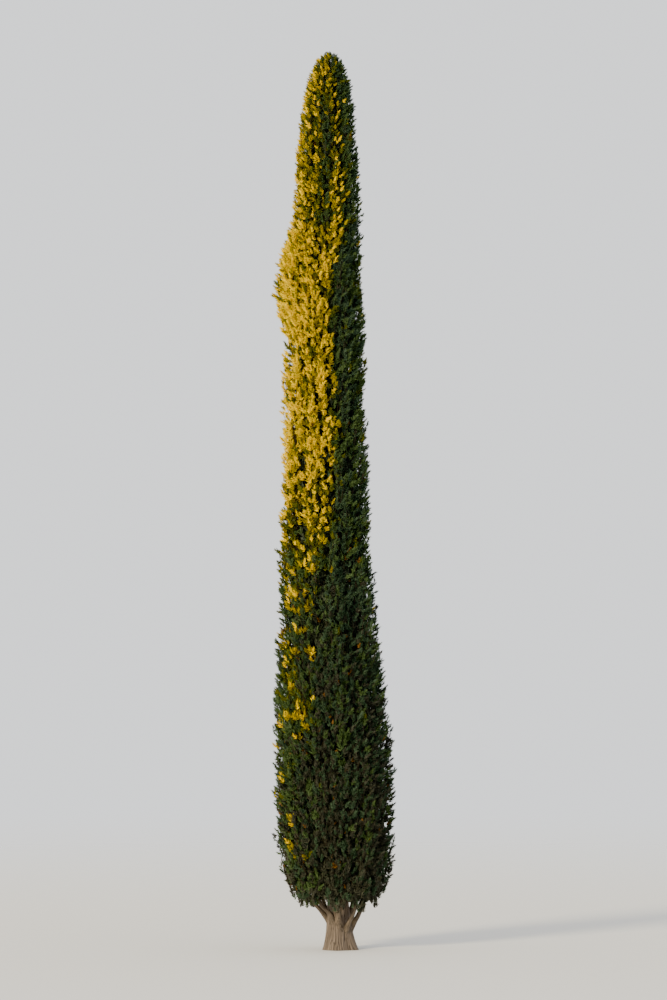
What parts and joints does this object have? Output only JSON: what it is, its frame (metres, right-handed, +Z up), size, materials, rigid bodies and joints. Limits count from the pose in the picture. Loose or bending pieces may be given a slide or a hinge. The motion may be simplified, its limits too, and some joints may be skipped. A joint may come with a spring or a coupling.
{
  "type": "columnar cypress tree",
  "caption": "Tall narrow evergreen cypress with a flared trunk, low boughs and a dense upright crown, standing on its flat-cut foot.",
  "frame": {"origin": "middle of the flat cut under the trunk, at ground level", "axes": "+Z up the tree; +Y away from the picture's camera; +X to its right"},
  "size_m": [2.8194, 2.8347, 19.6],
  "materials": {
    "bark": "rough fibrous grey-brown bark",
    "foliage": "matt scale leaves, deep green to golden olive"
  },
  "bodies": {
    "root": {"trunk": "bark", "bough_1": "bark", "bough_2": "bark", "bough_3": "bark", "bough_4": "bark", "bough_5": "bark", "bough_6": "bark", "bough_7": "bark", "bough_8": "bark", "foliage_1_1": "foliage", "foliage_1_2": "foliage", "foliage_1_3": "foliage", "foliage_1_4": "foliage", "foliage_1_5": "foliage", "foliage_1_6": "foliage", "foliage_1_7": "foliage", "foliage_1_8": "foliage", "foliage_2_1": "foliage", "foliage_2_2": "foliage", "foliage_2_3": "foliage", "foliage_2_4": "foliage", "foliage_2_5": "foliage", "foliage_2_6": "foliage", "foliage_2_7": "foliage", "foliage_2_8": "foliage", "foliage_3_1": "foliage", "foliage_3_2": "foliage", "foliage_3_3": "foliage", "foliage_3_4": "foliage", "foliage_3_5": "foliage", "foliage_3_6": "foliage", "foliage_3_7": "foliage", "foliage_3_8": "foliage", "foliage_4_1": "foliage", "foliage_4_2": "foliage", "foliage_4_3": "foliage", "foliage_4_4": "foliage", "foliage_4_5": "foliage", "foliage_4_6": "foliage", "foliage_4_7": "foliage", "foliage_4_8": "foliage", "foliage_5_1": "foliage", "foliage_5_2": "foliage", "foliage_5_3": "foliage", "foliage_5_4": "foliage", "foliage_5_5": "foliage", "foliage_5_6": "foliage", "foliage_5_7": "foliage", "foliage_5_8": "foliage", "foliage_tip": "foliage"}
  },
  "joints": []
}
